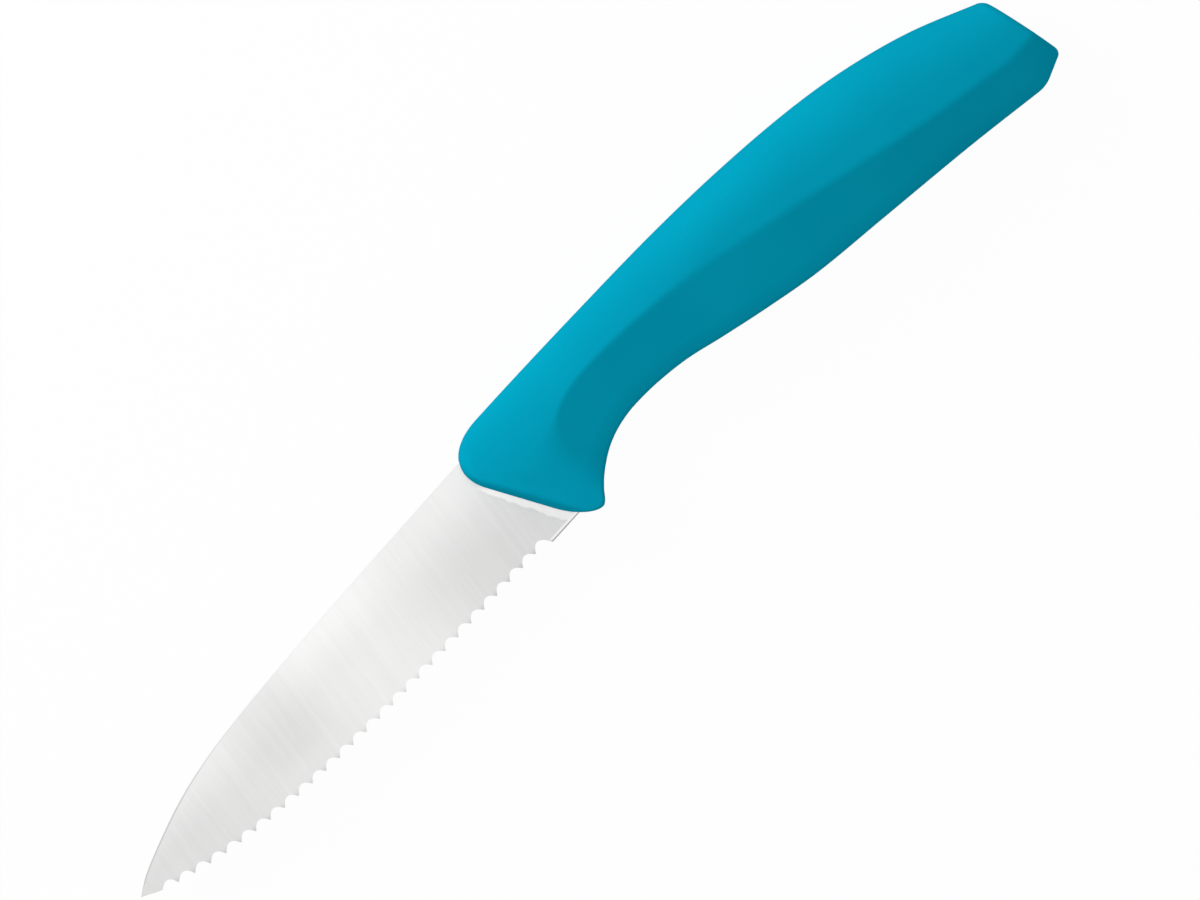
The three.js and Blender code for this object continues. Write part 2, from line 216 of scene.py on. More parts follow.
def objectPlace(wire, scale):  # Object coordinates, stretched
    place = wire.node("ShaderNodeTexCoord", {}, {}, "Object")
    return wire.node("ShaderNodeMapping", {}, {"Vector": place, "Scale": scale})


def axes(wire, vector):  # a vector's three values
    return wire.node("ShaderNodeSeparateXYZ", {}, {"Vector": vector}).outputs("XYZ")


def noiseAt(place, scale=1.0, detail=2.0, roughness=0.5):  # noise on a vector
    values = {"Vector": place, "Scale": scale, "Detail": detail, "Roughness": roughness}
    return place.node("ShaderNodeTexNoise", {}, values, "Fac")


def noise(wire, scale, detail=2.0, roughness=0.5):  # noise in cells per millimetre along each axis
    return noiseAt(objectPlace(wire, [s / mm for s in scale]), 1.0, detail, roughness)


def connect(wire, shader, name):  # to a socket of a node that is there
    wire.tree.links.new(wire.socket, shader.inputs[name])


def connectBump(height, depth, shader):  # depth in millimetres
    values = {"Strength": 1.0, "Distance": depth * mm, "Height": height}
    connect(height.node("ShaderNodeBump", {}, values), shader, "Normal")


# handle: a skin of rings, one ring for each station behind the front face

handle = {
    "length": 109.6,
    "frontLean": 0.48,       # run per rise of the slanted front face
    "buttLean": 0.16,
    "leanBlend": 30,
    "crownCover": 2.6,       # back above the blade's spine
    "buttTopDrop": 3.9,
    "noseLength": 10,
    "noseDrop": 8.5,
    "guardCover": 2.15,      # guard's point below the blade's heel
    "guardRound": 3,
    "guardCorner": 5.5,
    "notchPlace": 23.3,
    "notchDrop": 5.64,
    "heelDrop": 20.55,       # lowest corner of the butt
    "buttChamfer": 7,
    "buttChamferRise": 2.5,
    "chamferRound": 0.2,
    "frontWidth": 11,
    "notchWidth": 13.2,
    "palmWidth": 16,
    "buttWidth": 12.6,
    "frontFillet": 1.5,      # length of the rounding behind the front face, and half width lost to it
    "frontDip": 2.7,
    "buttFillet": 1.0,
    "creaseRound": 0.042,    # half width that the crease loses to its rounding, at the notch
    "palmCreaseRound": 0.07,
    "palmFade": (20, 28),
    "buttCreaseRound": 0.1,
    "buttFade": 10,
    "fadedCreaseRound": 0.55,
    "creaseFade": (7, 16),   # stations between which the crease comes up
    "upperPower": 2.4,       # fullness of the flank above and below its widest line
    "lowerPower": 3,
    "frontPower": 1.55,      # the same above, ahead of the palm, and below, at the guard
    "guardPower": 8,
    "powerFade": (35, 60),
    "guardReach": 4,         # how far below the guard, and below the belly, the flank would close
    "bellyReach": 1.5,
    "facetShare": 0.44,      # half width left at the belly, of that at the crease
    "guardFacetShare": 0.97,
    "facetFade": (2.5, 12),  # stations between which the facet comes up
    "noseEdge": 2.2,         # most rounding over the nose's edge
    "edgeRate": 1.5,         # growth of that rounding with the nose's drop
    "bellyEdge": 0.6,        # radius of the corners along the underside
    "bellyRoll": 0.4,        # half width that the facet loses as it curves in above the belly
    "bellyRollHeight": 3,
    "stations": 300,
    "rows": 52,              # rows from the back to the crease, and again to the belly
}

grip = {
    "wall": 2,
    "endBlend": 20,
    "lockRings": 3,          # ribs inside the skin that hold it on the core
    "lockRingWidth": 4,
    "lockRingDepth": 1,
    "slotGap": 0.06,         # between the moulded slot and the blade
    "innerStations": 60,
    "innerRows": 14,
    "sharpAngle": 32,
}

blade = {
    "length": 87.5,          # tip to the handle's front face, on the tip's level
    "spineRise": 9.1,
    "edgeDrop": 9.85,
    "heelStep": 0.8,         # unground heel below the tooth points
    "heelLength": 6.4,
    "blankFade": 0.3,
    "plainTip": 3.4,
    "toothPitch": 3,
    "toothFlat": 0.2,        # length of a tooth point between two scallops
    "toothOut": 0.08,        # tooth points beyond the tooth line
    "rowDrift": (-0.3, 0.18, -0.1),  # off an even pitch, at the heel, in the middle and at the tip
    "scallopDepth": 1.1,
    "grindAngle": 20,
    "spineThickness": 1.3,
    "edgeThickness": 0.5,
    "edgeLand": 0.02,        # thickness left at the cutting edge
    "heelBevel": (0.6, 0.17),  # width and depth of the bevel under the heel
    "bevelStart": (0.42, 0.6),  # behind the last scallop, where the bevel begins and has its depth
    "heelBreak": 0.2,        # broken corner below that bevel
    "heelRun": 0.8,          # straight run of the heel behind the front face
    "spineRound": (0.42, 0.1),  # spine's corners at the tip, and from the middle on
    "spineRoundFade": (0.17, 0.46),
    "roundLimits": (0.8, 0.25),  # most of those, of half the thickness and of the height
    "pointReach": 0.9,       # how far the tooth points' darker finish reaches in
    "tangLength": 70,
    "tangHeight": 7,
    "tangEndHeight": 6,
    "tangShares": (0.42, 0.62),  # tang's middle in the handle's height, at the notch and at its end
    "shoulderDepth": 2.2,
    "lockHoleDiameter": 3.6,
    "lockHoles": 2,
    "sharpAngle": 14,
    "edgePoints": 6000,      # along the tooth line, to measure travels on it
    "tipColumns": 24,
    "toothColumns": 20,      # in each scallop
    "heelColumns": (17, 11),  # close behind the last scallop, and from there to the handle
    "heelCrowd": 2.1,        # length of the first of those runs
    "rootColumns": 5,
    "leanStart": 0.4,        # share of the length from which columns lean towards the front face's slant
    "groundRows": 6,
    "bandRows": 4,           # from the flutes' tops to the level where columns begin to lean
    "flatRows": 14,
    "arcRows": 8,
    "leastGround": 0.1,      # height of the ground rows where nothing is ground off
    "bandClear": 0.15,       # band's top above the deepest flute
    "heelBand": 0.9,         # band's top above the heel's edge
    "leastBand": 0.05,       # of the way to the spine
    "rowLimits": (0.6, 0.7),  # highest ground row and band row, of the way to the spine
    "spineTries": 6,         # at the distance from the tooth line to the spine
    "tangRows": (16, 22),    # first and last row of the blade that run on into the tang
    "tangStart": 12,
    "tangColumns": 24,
    "rimPoints": 17,         # on half a lock hole, and on the tang's round end
    "rimClear": 0.5,         # no other column this near to a lock hole
}

crownHeight = blade["spineRise"] + handle["crownCover"]
heelBottom = blade["edgeDrop"] + blade["heelStep"]
guardDrop = heelBottom + handle["guardCover"]
notchPlace = handle["notchPlace"]
notchRun = notchPlace - handle["guardRound"]
palmRun = handle["length"] - notchPlace

lowCorner, highCorner = (np.array(corner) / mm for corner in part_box("blade"))
sheetMiddle = (lowCorner[2] + highCorner[2]) / 2
datum = np.array([lowCorner[0] + blade["length"], lowCorner[1] + heelBottom, sheetMiddle])
print("datum at", datum.round(3))  # the front face on the tip's level, in the middle of the sheet


def alongNotch(pairs):  # shares of the run from the front face to the notch
    return [(share * notchPlace, value) for share, value in pairs]


def alongPalm(pairs):  # shares of the run from the notch to the butt
    return [(notchPlace + share * palmRun, value) for share, value in pairs]


backLine = smoothLine([
    (share * handle["length"], mix(crownHeight, -handle["buttTopDrop"], fall))
    for share, fall in [(0, 0.004), (0.13, 0), (0.3, 0.022), (0.44, 0.054), (0.57, 0.12), (0.7, 0.236),
                        (0.8, 0.386), (0.9, 0.623), (1, 0.975)]
])
bellyLine = smoothLine([
    (handle["guardRound"] + share * notchRun, mix(-guardDrop, -handle["notchDrop"], rise))
    for share, rise in [(0, 0), (0.015, 0.004), (0.04, 0.034), (0.08, 0.096), (0.15, 0.23), (0.27, 0.423),
                        (0.41, 0.612), (0.55, 0.772), (0.7, 0.897), (0.85, 0.972)]
] + alongPalm([
    (share, mix(-handle["notchDrop"], -handle["heelDrop"], fall))
    for share, fall in [(0, 0), (0.06, 0.018), (0.13, 0.085), (0.2, 0.205), (0.29, 0.35), (0.4, 0.5),
                        (0.56, 0.637), (0.76, 0.807), (0.92, 0.968), (1, 1.05)]
]))
creaseShare = smoothLine(
    alongNotch([(0, 0.08), (0.11, 0.1), (0.3, 0.25), (0.45, 0.385), (0.6, 0.477), (0.8, 0.55), (1, 0.573)])
    + alongPalm([(0.14, 0.574), (0.22, 0.573), (0.32, 0.545), (0.44, 0.484), (0.6, 0.398), (0.76, 0.333),
                 (0.9, 0.347), (0.95, 0.356), (1, 0.338)])
)
widestShare = smoothLine(
    alongNotch([(0, 0.38), (1, 0.38)])
    + alongPalm([(0.07, 0.4), (0.17, 0.47), (0.31, 0.6), (0.5, 0.56), (0.75, 0.48), (1, 0.46)])
)
halfWidthLine = smoothLine(
    alongNotch([(0, handle["frontWidth"] / 2), (0.5, (handle["frontWidth"] + handle["notchWidth"]) / 4),
                (1, handle["notchWidth"] / 2)])
    + alongPalm([(0.36, handle["palmWidth"] / 2), (0.6, handle["palmWidth"] / 2),
                 (1, handle["buttWidth"] / 2)])
)


def lean(station):  # run per rise of a ring, from the front face's to the butt's
    return mix(handle["frontLean"], handle["buttLean"], fade(station, 0, handle["leanBlend"]))


def handleSection(station, inset):  # heights and half width at a station, drawn in by inset
    toButt = handle["length"] - station
    slope = handle["buttChamferRise"] / handle["buttChamfer"]
    chamfer = handle["heelDrop"] - slope * (handle["buttChamfer"] - toButt)
    bellyDrop = softMin(-bellyLine(station), chamfer, handle["chamferRound"])
    nose = cornerDrop(station, handle["noseLength"], handle["noseDrop"])
    guard = cornerDrop(station, handle["guardRound"], handle["guardCorner"])
    front = cornerDrop(station, handle["frontFillet"], handle["frontDip"])
    butt = cornerDrop(toButt, handle["buttFillet"], handle["buttFillet"])
    back = backLine(station) - butt - inset
    keel = butt + inset - bellyDrop
    top = back - nose
    belly = keel + guard
    offGuard = fade(station, *handle["facetFade"])
    onPalm = fade(station, *handle["palmFade"])
    sharpness = mix(handle["creaseRound"], handle["palmCreaseRound"], onPalm)
    sharpness = mix(handle["buttCreaseRound"], sharpness, fade(toButt, 0, handle["buttFade"]))
    return {
        "back": back,
        "flankEnd": keel - mix(handle["guardReach"], handle["bellyReach"], offGuard),
        "top": top,
        "belly": belly,
        "noseRound": np.minimum(handle["noseEdge"], handle["edgeRate"] * nose),
        "crease": mix(belly, top, creaseShare(station)),
        "widest": mix(keel, back, widestShare(station)),
        "facetShare": mix(handle["guardFacetShare"], handle["facetShare"], offGuard),
        "roll": handle["bellyRoll"] * offGuard,
        "lowerPower": mix(handle["guardPower"], handle["lowerPower"], offGuard),
        "upperPower": mix(handle["frontPower"], handle["upperPower"], fade(station, *handle["powerFade"])),
        "halfWidth": halfWidthLine(station) - front - butt - inset,
        "round": mix(handle["fadedCreaseRound"], sharpness, fade(station, *handle["creaseFade"])),
    }


# The flank's half width is full * sqrt(1 - reach ^ power), with reach 0 on the widest line and 1 at its end.
def flankWidth(y, part):
    above = y > part["widest"]
    end = np.where(above, part["back"], part["flankEnd"])
    power = np.where(above, part["upperPower"], part["lowerPower"])
    reach = np.clip((y - part["widest"]) / (end - part["widest"]), 0, 1)
    return part["halfWidth"] * np.sqrt(1 - reach ** power)


def rounding(distance, height):  # rises from 0 at an edge to 1 at a height from it, as a quarter ellipse
    reach = np.clip(1 - distance / np.maximum(height, 1e-9), 0, 1)
    return np.sqrt(1 - reach ** 2)


def halfWidthAt(y, part):  # the flank, cut by a facet below the crease and rounded into the edges
    atCrease = flankWidth(part["crease"], part)
    facetHeight = part["crease"] - part["belly"]
    aboveBelly = y - part["belly"]
    facet = atCrease + atCrease * (1 - part["facetShare"]) * (y - part["crease"]) / facetHeight
    facet = facet - part["roll"] * np.clip(1 - aboveBelly / handle["bellyRollHeight"], 0, 1) ** 2
    width = np.maximum(softMin(flankWidth(y, part), facet, part["round"]), 0)
    corner = cornerDrop(aboveBelly, handle["bellyEdge"], np.minimum(handle["bellyEdge"], width / 2))
    return (width - corner) * rounding(part["top"] - y, part["noseRound"])


# A ring's height falls from the back to the crease as 1 - cos(angle), and on to the belly as -cos(angle),
# so rows crowd where the skin turns over. The station leans: x = station - lean * height.
def handleRings(station, inset, endInset, rows):
    fromFront = endInset * (1 - fade(station, 0, grip["endBlend"]))
    fromButt = endInset * (1 - fade(handle["length"] - station, 0, grip["endBlend"]))
    place = (station - fromFront + fromButt)[:, None]
    part = handleSection(place, inset)
    angle = np.linspace(0, math.pi, 2 * rows + 1)
    onFlank = mix(part["top"], part["crease"], 1 - np.cos(angle))
    onFacet = mix(part["crease"], part["belly"], -np.cos(angle))
    y = np.where(angle <= math.pi / 2, onFlank, onFacet)
    z = halfWidthAt(y, part)
    z[:, [0, -1]] = 0
    x = station[:, None] - lean(station)[:, None] * y
    left = np.stack([x, y, z], -1)
    right = left[:, -2:0:-1] * (1, 1, -1)
    return np.concatenate([left, right], 1)


def closedSkin(name, rings):  # rings joined into a skin, with a flat cap at each end
    work = Patchwork()
    index = work.add(rings)
    work.faces += quads(closedRow(index))
    work.faces += [index[0].tolist(), index[-1].tolist()]
    return work.mesh(name, grip["sharpAngle"])


def endRow(endInset, count):  # stations that crowd towards both ends
    share = (1 - np.cos(np.linspace(0, math.pi, count + 1))) / 2
    return mix(endInset, handle["length"] - endInset, share)


def outerSkin():  # rings on the handle's surface itself
    return closedSkin("skin", handleRings(endRow(0, handle["stations"]), 0, 0, handle["rows"]))


def innerSkin():  # the skin drawn in by its wall, with a groove for each lock ring
    wall = grip["wall"]
    floorHalf = grip["lockRingWidth"] / 2
    mouthHalf = floorHalf + grip["lockRingDepth"]
    rings = np.arange(1, grip["lockRings"] + 1) / (grip["lockRings"] + 1)
    places = mix(notchPlace, handle["length"], rings)
    corners = places[:, None] + np.array([-mouthHalf, -floorHalf, floorHalf, mouthHalf])
    plain = endRow(wall, grip["innerStations"])
    clear = np.abs(plain[:, None] - places).min(1) > mouthHalf + grip["lockRingDepth"]
    station = np.sort(np.concatenate([plain[clear], corners.ravel()]))
    inGroove = np.abs(station[:, None] - places).min(1) < floorHalf + grip["lockRingDepth"] / 2
    inset = wall + grip["lockRingDepth"] * inGroove
    return closedSkin("hollow", handleRings(station, inset[:, None], wall, grip["innerRows"]))


# blade outline, on the tip's level

spineShape = smoothLine([(0, 0), (0.03, 0.17), (0.06, 0.287), (0.115, 0.464), (0.17, 0.615), (0.23, 0.735),
                         (0.315, 0.838), (0.46, 0.915), (0.69, 0.965), (1, 1)])
edgeShape = smoothLine([(0, 0), (0.036, 0.168), (0.07, 0.286), (0.135, 0.467), (0.2, 0.602), (0.3, 0.748),
                        (0.435, 0.867), (0.605, 0.944), (0.815, 0.984), (1, 1)])


def spineHeight(x):  # above the tip's level
    return blade["spineRise"] * spineShape(1 + x / blade["length"])


def toothHeight(x):  # tooth line, negative below the tip's level
    return -blade["edgeDrop"] * edgeShape(1 + x / blade["length"])


def heelFall(x):  # how far the unground edge lies below the tooth points
    return blade["heelStep"] * fade(1 + x / blade["length"], 0, blade["blankFade"])


def frontFaceAt(y, depth):  # x of the slanted front face at a height, at a depth behind it
    return depth - handle["frontLean"] * y


def halfThickness(y):  # the sheet tapers evenly from the spine to the edge
    share = (y + blade["edgeDrop"]) / (blade["spineRise"] + blade["edgeDrop"])
    return mix(blade["edgeThickness"], blade["spineThickness"], share) / 2


def tangMiddle(x):  # straight from the core's middle above the notch to its middle at the tang's end
    ends = np.array([notchPlace, blade["tangLength"]])
    part = handleSection(ends, 0)
    heights = mix(part["belly"], part["top"], np.array(blade["tangShares"]))
    return mix(heights[0], heights[1], (x - ends[0]) / (ends[1] - ends[0]))


tangBottom = tangMiddle(0) - blade["tangHeight"] / 2
tangTop = tangMiddle(0) + blade["tangHeight"] / 2
tangEndRadius = blade["tangEndHeight"] / 2
tangEndX = blade["tangLength"] - tangEndRadius


def slotCutter():  # the blade's root and tang grown by the slot's gap, and run out through the front
    gap = grip["slotGap"]
    depth = blade["shoulderDepth"] + gap
    inFront = frontFaceAt(crownHeight, -handle["noseLength"])
    turn = np.linspace(-math.pi / 2, math.pi / 2, blade["rimPoints"])
    arc = np.stack([tangEndX + (tangEndRadius + gap) * np.cos(turn),
                    tangMiddle(tangEndX) + (tangEndRadius + gap) * np.sin(turn)], -1)
    heelY = -heelBottom - gap
    spineY = blade["spineRise"] + gap
    lower = [(inFront, spineY), (inFront, heelY), (frontFaceAt(heelY, depth), heelY),
             (frontFaceAt(tangBottom - gap, depth), tangBottom - gap)]
    upper = [(depth, tangTop + gap), (depth, spineY)]
    outline = np.concatenate([lower, arc, upper])
    height = halfThickness(outline[:, 1]) + gap
    sides = np.stack([np.column_stack([outline, height]), np.column_stack([outline, -height])])
    work = Patchwork()
    index = work.add(sides)
    work.faces += quads(closedRow(index))
    work.faces += [index[0].tolist(), index[1].tolist()]
    return work.mesh("slot", grip["sharpAngle"])


def cutAway(mesh, cutters):  # the mesh with the cutters' solids taken out of it
    body = addObject("cutting", mesh)
    tools = [addObject("cutter", cutter) for cutter in cutters]
    for tool in tools:
        cut = body.modifiers.new("cut", "BOOLEAN")
        cut.operation = "DIFFERENCE"
        cut.solver = "MANIFOLD"
        cut.object = tool
    graph = bpy.context.evaluated_depsgraph_get()
    result = bpy.data.meshes.new_from_object(body.evaluated_get(graph))
    for thing in [body] + tools:
        bpy.data.objects.remove(thing)
    return result


def gripMesh():  # the outer skin less its hollow and the blade's slot
    made = cutAway(outerSkin(), [innerSkin(), slotCutter()])
    made.name = "handle_grip"
    finishShading(made, grip["sharpAngle"])
    return made


# blade: columns across the sheet from the tip to the shoulder, each with the same rows from edge to spine

def edgeTable():  # points of the tooth line, with the travel along it from the heel towards the tip
    x = np.linspace(-blade["length"], frontFaceAt(-heelBottom, 0), blade["edgePoints"])
    points = np.stack([x, toothHeight(x)], -1)
    heelStart = frontFaceAt(-heelBottom, -blade["heelLength"])
    run = np.concatenate([[0], np.cumsum(np.linalg.norm(np.diff(points, axis=0), axis=1))])
    return points, np.interp(heelStart, x, run) - run


edgePoints, edgeTravel = edgeTable()
tipTravel = edgeTravel[0]
frontTravel = edgeTravel[-1]


def onEdge(travel):  # tooth line and its inward direction at a travel
    order = slice(None, None, -1)
    point = np.stack([np.interp(travel, edgeTravel[order], edgePoints[order, i]) for i in (0, 1)], -1)
    step = 0.02
    ahead = toothHeight(point[:, 0] + step) - toothHeight(point[:, 0] - step)
    along = np.stack([np.full(len(point), 2 * step), ahead], -1)
    along /= np.linalg.norm(along, axis=1)[:, None]
    return point, np.stack([-along[:, 1], along[:, 0]], -1)


def scallopCount():  # whole scallops between the heel and the plain tip
    centres = np.arange(0.5, tipTravel / blade["toothPitch"]) * blade["toothPitch"]
    room = np.linalg.norm(onEdge(centres)[0] - edgePoints[0], axis=1) - blade["toothPitch"] / 2
    return int((room >= blade["plainTip"]).sum())


scallops = scallopCount()
flatShare = blade["toothFlat"] / blade["toothPitch"] / 2
rowDrift = smoothLine(list(zip((0, 0.5, 1), blade["rowDrift"])))
print("scallops", scallops)


def rowPlace(travel):  # scallops passed at a travel, counted from the heel
    share = travel / (scallops * blade["toothPitch"])
    return (travel - rowDrift(share)) / blade["toothPitch"]


def columnTravels():  # from the tip to the front face, crowded in the scallops
    inScallop = np.linspace(flatShare, 1 - flatShare, blade["toothColumns"] + 1)
    places = (np.arange(scallops)[:, None] + inScallop).ravel()
    toothed = np.interp(places, rowPlace(edgeTravel[::-1]), edgeTravel[::-1])[::-1]
    crowded, plain = blade["heelColumns"]
    tip = np.linspace(tipTravel, toothed[0], blade["tipColumns"] + 1)[:-1]
    heel = np.linspace(toothed[-1], -blade["heelCrowd"], crowded + 1)[1:]
    flat = np.linspace(heel[-1], frontTravel, plain + 1)[1:]
    return np.concatenate([tip, toothed, heel, flat])


def heelCut(distance):  # steel off the left side by its bevel and broken corner, at a distance from the edge
    width, depth = blade["heelBevel"]
    bevel = depth * np.clip(1 - distance / width, 0, 1)
    return bevel + np.clip(blade["heelBreak"] - distance, 0, None)


def shares(count):  # even steps up to 1
    return np.linspace(0, 1, count + 1)[1:]


# One scallop is part of a wheel's rim, laid at the grind angle against the right flat. At a distance p from
# its middle the rim stands e = r - sqrt(r^2 - p^2) out, so it cuts the left flat at depth - e / sin(angle).
# The steel over the left flat is (n - depth) * tan(angle) + e / cos(angle) thick at n from the tooth line.
# Between two scallops, and on the heel, the edge is the blank's own, a little outside the tooth line.
def bladeColumns():
    angle = math.radians(blade["grindAngle"])
    pitch = blade["toothPitch"]
    sagitta = blade["scallopDepth"] * math.sin(angle)
    radius = (((pitch - blade["toothFlat"]) / 2) ** 2 + sagitta ** 2) / (2 * sagitta)
    travel = columnTravels()
    point, inward = onEdge(travel)
    place = rowPlace(travel)
    tooth = np.clip(np.floor(place), 0, scallops - 1)
    off = np.minimum(np.abs(place - tooth - 0.5) * pitch, radius)
    rim = radius - np.sqrt(radius ** 2 - off ** 2)
    rim = np.where(place > scallops - flatShare, sagitta, rim)  # the plain tip is ground along the tooth line
    out = blade["toothOut"] * fade(tipTravel - travel, 0, blade["plainTip"])
    depth = blade["scallopDepth"] - out
    blank = -np.maximum(heelFall(point[:, 0]), out) * inward[:, 1]
    edge = np.maximum(blank, depth - rim / math.sin(angle))
    onHeel = fade(-travel, *blade["bevelStart"])

    def steelOver(distance):  # thickness that the grinding leaves over the left flat
        steel = (distance - depth[:, None]) * math.tan(angle) + rim[:, None] / math.cos(angle)
        return steel + blade["edgeLand"]

    taper = 2 * (halfThickness(1) - halfThickness(0)) * inward[:, 1]
    sheet = 2 * halfThickness(point[:, 1])
    slope = math.tan(angle) - taper
    fluteTop = (sheet + depth * math.tan(angle) - rim / math.cos(angle)) / slope
    deepest = (sheet + depth * math.tan(angle)) / slope + blade["bandClear"]
    toSpine = spineHeight(point[:, 0]) - point[:, 1]
    for _ in range(blade["spineTries"]):  # distance to the spine, straight in from the tooth line
        toSpine = (spineHeight(point[:, 0] + inward[:, 0] * toSpine) - point[:, 1]) / inward[:, 1]
    groundLimit, bandLimit = blade["rowLimits"]
    leastGround = mix(blade["leastGround"], blade["heelBevel"][0], onHeel)
    fluteTop = np.clip(fluteTop, edge + leastGround * np.minimum(toSpine, 1), groundLimit * toSpine)
    toHandle = fade(-travel, blade["heelCrowd"], -frontTravel)
    bandTop = mix(deepest, edge + blade["heelBand"], toHandle)
    bandTop = np.clip(bandTop, fluteTop + blade["leastBand"] * toSpine, bandLimit * toSpine)

    frontX = frontFaceAt(-heelBottom, 0)
    toFront = fade(point[:, 0], (blade["leanStart"] - 1) * blade["length"], frontX)
    straight = point[:, 0] + inward[:, 0] * toSpine
    heelLean = frontFaceAt(blade["spineRise"], 0) - frontX
    spineX = mix(straight, point[:, 0] + heelLean, toFront)
    spine = np.stack([spineX, spineHeight(spineX)], -1)

    ground = np.concatenate([[0], shares(blade["groundRows"])])
    rows = np.concatenate([mix(edge[:, None], fluteTop[:, None], ground),
                           mix(fluteTop[:, None], bandTop[:, None], shares(blade["bandRows"]))], 1)
    lower = point[:, None] + inward[:, None] * rows[..., None]
    upper = mix(lower[:, -1:], spine[:, None], shares(blade["flatRows"])[:, None])
    flat = np.concatenate([lower, upper], 1)
    distance = ((flat - point[:, None]) * inward[:, None]).sum(-1)
    half = halfThickness(flat[..., 1])
    left = half - heelCut(distance - edge[:, None]) * onHeel[:, None]
    right = np.maximum(-half, half - steelOver(distance))
    nearPoint = 1 - fade(distance, 0, blade["pointReach"])
    return flat, left, np.minimum(right, left - blade["edgeLand"]), nearPoint


firstTangRow, lastTangRow = blade["tangRows"]


def rootColumns(first):  # behind the front face, and bent to the shoulders' line in the last column
    straight = first + (blade["heelRun"], 0)
    depth = blade["shoulderDepth"]
    corners = [(frontFaceAt(-heelBottom, depth), -heelBottom), (frontFaceAt(tangBottom, depth), tangBottom),
               (depth, tangTop), (depth, blade["spineRise"])]
    level = first[0, :, 1]
    places = level[[0, firstTangRow, lastTangRow, -1]]
    bent = np.stack([np.interp(level, places, side) for side in zip(*corners)], -1)
    flat = mix(straight, bent, np.linspace(0, 1, blade["rootColumns"])[:, None, None])
    half = halfThickness(flat[..., 1])
    return flat, half - heelCut(flat[..., 1] + heelBottom), -half


# Each top corner of the sheet is a quarter round: radius * (sin(turn) - 1) below the spine, and
# half thickness - radius + radius * cos(turn) from the sheet's middle.
def spineArc(flat, left, right):
    top = flat[:, -1]
    outward = np.gradient(top, axis=0)
    outward = np.stack([-outward[:, 1], outward[:, 0]], -1)
    outward /= np.linalg.norm(outward, axis=1)[:, None]
    height = np.linalg.norm(top - flat[:, 0], axis=1)
    half = (left[:, -1] - right[:, -1]) / 2
    middle = (left[:, -1] + right[:, -1]) / 2
    radius = mix(*blade["spineRound"], fade(1 + top[:, 0] / blade["length"], *blade["spineRoundFade"]))
    ofHalf, ofHeight = blade["roundLimits"]
    radius = np.minimum(radius, np.minimum(ofHalf * half, ofHeight * height))[:, None]
    radius[-1] = 0  # square at the shoulder, where the tang joins on
    quarter = np.linspace(0, math.pi / 2, blade["arcRows"] + 1)
    turn = np.concatenate([quarter, quarter + math.pi / 2])
    side = np.where(np.arange(len(turn)) <= blade["arcRows"], 1, -1)
    rise = radius * (np.sin(turn) - 1)
    z = middle[:, None] + side * (half[:, None] - radius) + radius * np.cos(turn)
    place = top[:, None] + outward[:, None] * rise[..., None]
    return np.concatenate([place, z[..., None]], -1), outward * radius


def bladeMesh():  # each column is a loop: up the left side, over the spine and down the right side
    flat, left, right, nearPoint = bladeColumns()
    rootFlat, rootLeft, rootRight = rootColumns(flat[-1:])
    flat = np.concatenate([flat, rootFlat])
    left = np.concatenate([left, rootLeft])
    right = np.concatenate([right, rootRight])
    arc, sink = spineArc(flat, left, right)
    flat[:, -blade["flatRows"]:] -= sink[:, None] * shares(blade["flatRows"])[:, None]
    leftSide = np.concatenate([flat, left[..., None]], -1)
    rightSide = np.concatenate([flat, right[..., None]], -1)
    loop = np.concatenate([leftSide[:, :-1], arc, rightSide[:, -2::-1]], 1)
    marks = np.zeros(loop.shape[:2])
    marks[:len(nearPoint), :nearPoint.shape[1]] = nearPoint
    work = Patchwork()
    index = work.add(loop, marks)
    work.faces += quads(closedRow(index))
    rows = flat.shape[1] - 1
    leftIndex = index[:, :rows]
    rightIndex = index[:, :-rows - 1:-1]
    work.faces += quads(np.stack([leftIndex[0], rightIndex[0]]))
    work.faces += [index[0, rows - 1:-rows + 1].tolist(), index[-1, rows - 1:-rows + 1].tolist()]
    for shoulder in (slice(0, firstTangRow + 1), slice(lastTangRow, rows)):
        work.faces += quads(np.stack([leftIndex[-1, shoulder], rightIndex[-1, shoulder]]))
    addTang(work, flat[-1, firstTangRow:lastTangRow + 1])
    return work.mesh("blade", blade["sharpAngle"])


